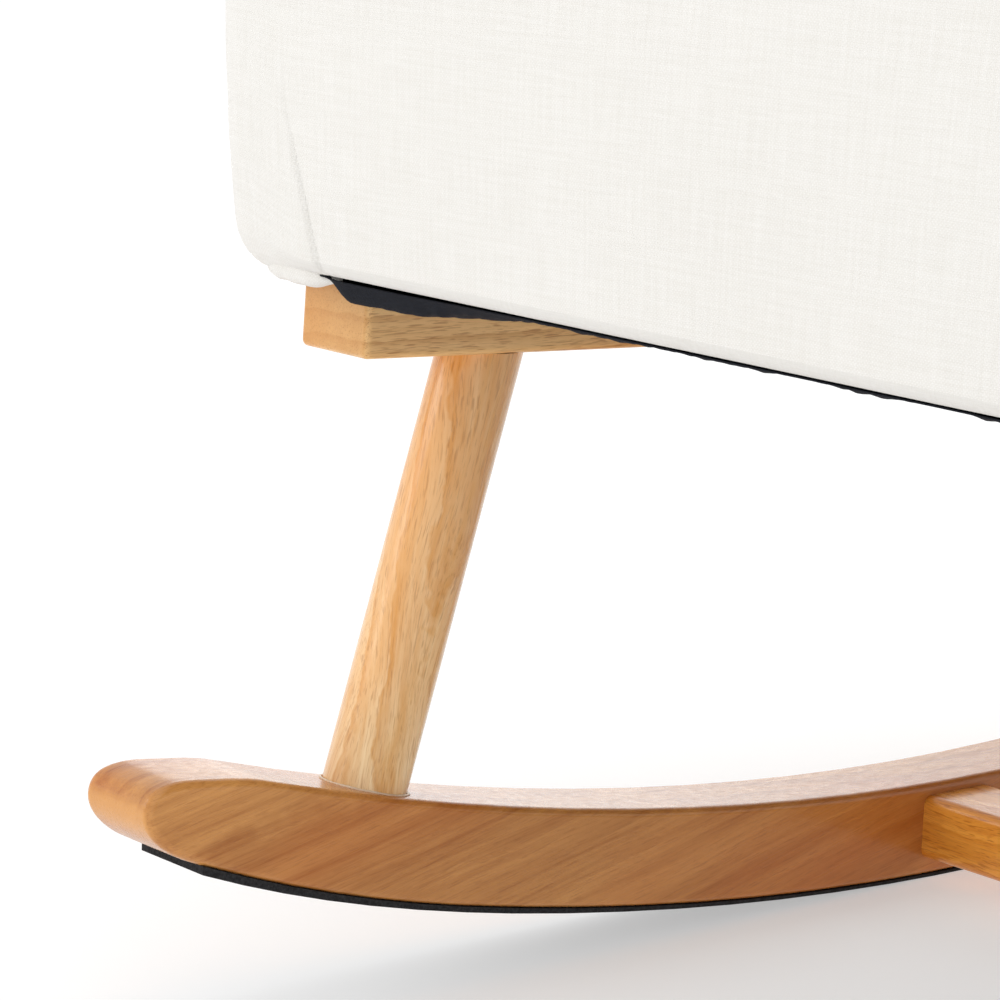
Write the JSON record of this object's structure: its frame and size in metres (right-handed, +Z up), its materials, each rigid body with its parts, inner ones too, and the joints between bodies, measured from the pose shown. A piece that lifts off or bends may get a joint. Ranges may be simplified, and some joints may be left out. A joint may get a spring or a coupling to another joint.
{
  "type": "upholstered rocking nursery chair",
  "caption": "Upholstered armchair on curved wooden rockers, with splayed round legs, a flat stretcher, a loose seat cushion and a reclined padded back.",
  "frame": {"origin": "on the floor, under the lowest point of the rockers, midway between them, which is also the centre of the chair's footprint box", "axes": "+Z up, the chair's front faces -Y, +X to the right seen from the front; the rockers run along Y"},
  "size_m": [0.6734, 0.8248, 0.9982],
  "materials": {
    "rocker_wood": "clear satin lacquer",
    "leg_wood": "clear satin lacquer",
    "rail_wood": "clear satin lacquer",
    "stretcher_wood": "clear satin lacquer",
    "strip_rubber": "matt foam rubber",
    "ivory_weave": "plain weave upholstery cloth",
    "black_nonwoven": "spun-bonded dust cover cloth",
    "foam": "open-cell upholstery foam",
    "felt_and_webbing": "felt pad and elastic webbing",
    "board": "thin hardboard",
    "frame_timber": "sawn softwood and ply",
    "steel": "zinc plated"
  },
  "bodies": {
    "chair": {"antislip_strip_left": "strip_rubber", "antislip_strip_right": "strip_rubber", "arm_cover_left": "ivory_weave", "arm_cover_right": "ivory_weave", "arm_foam_left": "foam", "arm_foam_right": "foam", "arm_rail_left": "frame_timber", "arm_rail_right": "frame_timber", "arm_stump_left": "frame_timber", "arm_stump_right": "frame_timber", "back_cover": "ivory_weave", "back_foam": "foam", "back_lower_rail": "frame_timber", "back_middle_rail": "frame_timber", "back_panel_board": "board", "back_post_left": "frame_timber", "back_post_right": "frame_timber", "back_top_rail": "frame_timber", "back_webbing": "felt_and_webbing", "base_cover": "ivory_weave", "border_padding": "foam", "corner_blocks": "frame_timber", "deck_foam": "foam", "dust_cover": "black_nonwoven", "dust_cover_staples": "steel", "frame_bolts": "steel", "frame_screws": "steel", "leg_foot_screws": "steel", "leg_front_left": "leg_wood", "leg_front_right": "leg_wood", "leg_head_screws": "steel", "leg_rear_left": "leg_wood", "leg_rear_right": "leg_wood", "rail_bolt_washers": "steel", "rail_bolts": "steel", "rail_cleat_left": "frame_timber", "rail_cleat_right": "frame_timber", "rocker_left": "rocker_wood", "rocker_right": "rocker_wood", "rocker_stretcher": "stretcher_wood", "seat_frame_back": "frame_timber", "seat_frame_front": "frame_timber", "seat_frame_left": "frame_timber", "seat_frame_right": "frame_timber", "seat_rail_left": "rail_wood", "seat_rail_right": "rail_wood", "seat_springs": "steel", "spring_clips": "steel", "spring_pad": "felt_and_webbing", "stretcher_barrel_nuts": "steel", "stretcher_bolts": "steel", "tee_nuts": "steel"},
    "cushion": {"cushion_cover": "ivory_weave", "cushion_foam": "foam"}
  },
  "joints": [
    {"name": "cushion_lift", "type": "slide", "parent": "chair", "child": "cushion", "axis": [0, 0.0349, 0.9994], "range_m": [0, 0.2]}
  ]
}
